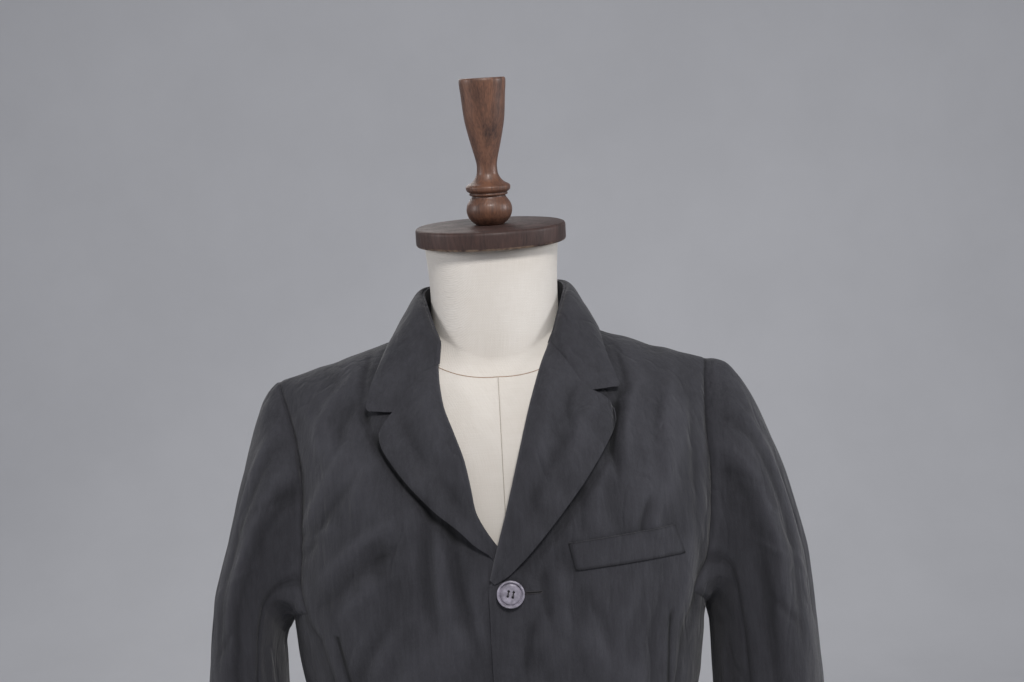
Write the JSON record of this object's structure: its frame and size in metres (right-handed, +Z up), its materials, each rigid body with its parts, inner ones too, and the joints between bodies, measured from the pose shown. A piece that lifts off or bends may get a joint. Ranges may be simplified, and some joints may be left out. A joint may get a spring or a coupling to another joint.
{
  "type": "blazer on dress form",
  "caption": "Soft unstructured notch-lapel blazer worn by a limbless dress form with a wooden neck cap, turned handle and round base.",
  "frame": {"origin": "centre of the round base's underside", "axes": "+Z up along the stand, -Y out of the blazer's front, +X towards the wearer's left"},
  "size_m": [0.6003, 0.33, 1.1693],
  "materials": {
    "blazer_cloth": "matte",
    "button_horn": "satin",
    "form_linen": "matte",
    "cap_wood": "satin",
    "turned_wood": "polished"
  },
  "bodies": {
    "root": {"front_left": "blazer_cloth", "front_right": "blazer_cloth", "back_left": "blazer_cloth", "back_right": "blazer_cloth", "side_left": "blazer_cloth", "side_right": "blazer_cloth", "top_sleeve_left": "blazer_cloth", "top_sleeve_right": "blazer_cloth", "under_sleeve_left": "blazer_cloth", "under_sleeve_right": "blazer_cloth", "lapel_left": "blazer_cloth", "lapel_right": "blazer_cloth", "collar_stand": "blazer_cloth", "collar_fall": "blazer_cloth", "breast_welt": "blazer_cloth", "button_1": "button_horn", "button_2": "button_horn", "button_3": "button_horn", "form_body": "form_linen", "neck_cap": "cap_wood", "finial": "turned_wood", "pole": "cap_wood", "base": "cap_wood"}
  },
  "joints": []
}
